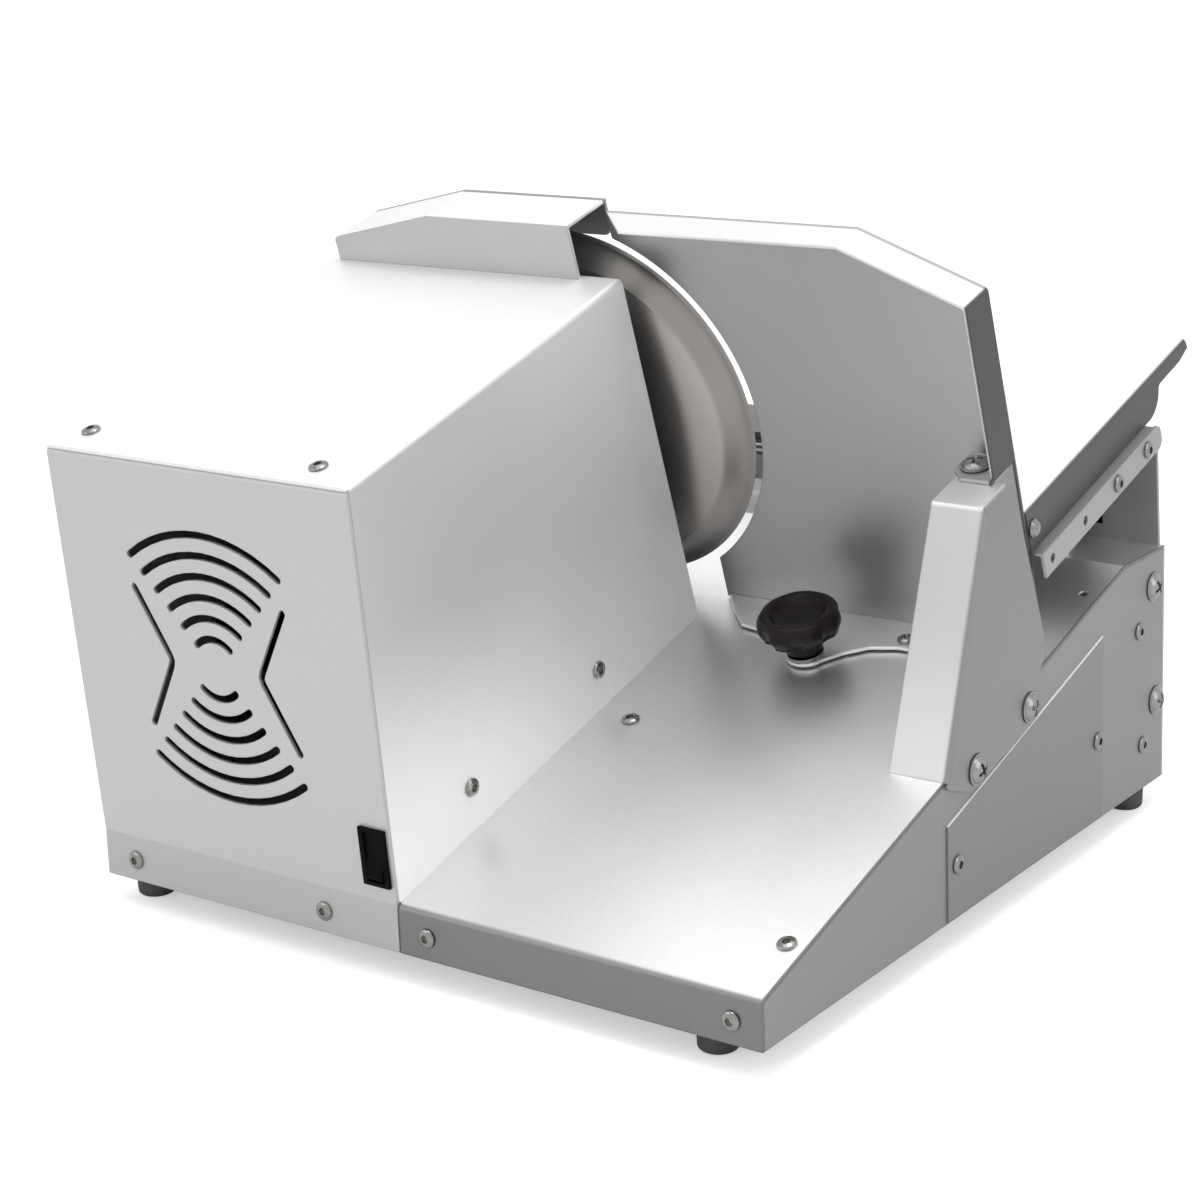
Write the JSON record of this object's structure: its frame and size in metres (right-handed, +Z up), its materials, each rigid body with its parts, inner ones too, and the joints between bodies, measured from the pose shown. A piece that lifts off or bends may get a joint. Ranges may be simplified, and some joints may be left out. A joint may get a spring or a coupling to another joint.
{
  "type": "meat slicer",
  "caption": "Sheet-metal meat slicer with a sloping deck, motor housing, belt-driven dished blade, gauge plate with clamp knob and sliding food tray.",
  "frame": {"origin": "middle of the bounding box on the plane of the rubber feet", "axes": "+X to the right as seen from the vent face, +Y to the rear along the tray arm, +Z up"},
  "size_m": [0.4618, 0.5156, 0.3869],
  "materials": {
    "polished_sheet": "bright satin",
    "satin_sheet": "fine satin",
    "grey_sheet": "satin, in shade",
    "inner_steel": "mill finish",
    "blade_steel": "ground and polished",
    "bright_screw": "polished stainless",
    "cast_alloy": "turned",
    "motor_paint": "semi-gloss",
    "black_plastic": "fine matt",
    "white_plastic": "fine matt",
    "foot_rubber": "matt",
    "belt_rubber": "matt"
  },
  "bodies": {
    "base": {"deck_plate": "polished_sheet", "side_wall_right": "grey_sheet", "side_wall_left": "grey_sheet", "side_cover": "grey_sheet", "rear_panel": "polished_sheet", "front_brace": "inner_steel", "deck_brace": "inner_steel", "base_screws": "bright_screw", "rear_pan_screws": "bright_screw", "feet": "foot_rubber", "feet_screws": "bright_screw", "vent_panel": "polished_sheet", "housing_shell": "satin_sheet", "housing_angles": "inner_steel", "housing_back": "inner_steel", "housing_screws": "bright_screw", "blade_hood": "satin_sheet", "switch_body": "black_plastic", "cable_gland": "black_plastic", "motor_body": "motor_paint", "motor_stator": "inner_steel", "motor_mount": "inner_steel", "motor_screws": "bright_screw", "capacitor": "cast_alloy", "terminal_block": "white_plastic", "bearing_housing": "cast_alloy", "bearing_screws": "bright_screw", "shaft_bearings": "bright_screw", "drive_belt": "belt_rubber", "pillar": "polished_sheet", "pillar_screws": "bright_screw", "knob_stud": "bright_screw", "knob_washer": "bright_screw", "gauge_foot_screw": "bright_screw", "gauge_tab_screw": "bright_screw", "rear_channel": "grey_sheet", "guide_rod": "bright_screw", "rod_supports": "cast_alloy"},
    "blade_drive": {"blade": "blade_steel", "blade_hub": "cast_alloy", "blade_shaft": "inner_steel", "blade_screws": "bright_screw", "driven_pulley": "cast_alloy"},
    "motor_drive": {"motor_shaft": "inner_steel", "motor_pulley": "cast_alloy", "motor_fan": "black_plastic", "motor_rotor": "inner_steel"},
    "gauge": {"gauge_plate": "grey_sheet"},
    "knob": {"clamp_knob": "black_plastic"},
    "rocker": {"switch_rocker": "black_plastic"},
    "carriage": {"food_tray": "satin_sheet", "rail_right": "satin_sheet", "rail_left": "satin_sheet", "carriage_cross": "grey_sheet", "carriage_bracket": "grey_sheet", "tray_spacers": "inner_steel", "glide_shoes": "white_plastic", "rod_bushings": "white_plastic", "tie_rod": "bright_screw", "carriage_screws": "bright_screw"}
  },
  "joints": [
    {"name": "blade_spin", "type": "hinge", "parent": "base", "child": "blade_drive", "pos_m": [-0.0705, 0.01283, 0.25109], "axis": [0, 0.9563, 0.2924], "continuous": true},
    {"name": "motor_spin", "type": "hinge", "parent": "base", "child": "motor_drive", "pos_m": [-0.151, -0.10515, 0.15813], "axis": [0, 0.9563, 0.2924], "continuous": true},
    {"name": "gauge_slide", "type": "slide", "parent": "base", "child": "gauge", "axis": [0, 0.9563, 0.2924], "range_m": [-0.0035, 0]},
    {"name": "knob_turn", "type": "hinge", "parent": "base", "child": "knob", "pos_m": [0.0856, 0.01716, 0.14115], "axis": [0, -0.2924, 0.9563], "range_deg": [0, 360]},
    {"name": "switch_rock", "type": "hinge", "parent": "base", "child": "rocker", "pos_m": [-0.017, -0.23446, 0.06884], "axis": [1, 0, 0], "range_deg": [0, 14]},
    {"name": "carriage_slide", "type": "slide", "parent": "base", "child": "carriage", "axis": [1, 0, 0], "range_m": [-0.2, 0]}
  ],
  "couplings": [
    {"joint": "motor_spin", "follows": "blade_spin", "ratio": 4}
  ]
}
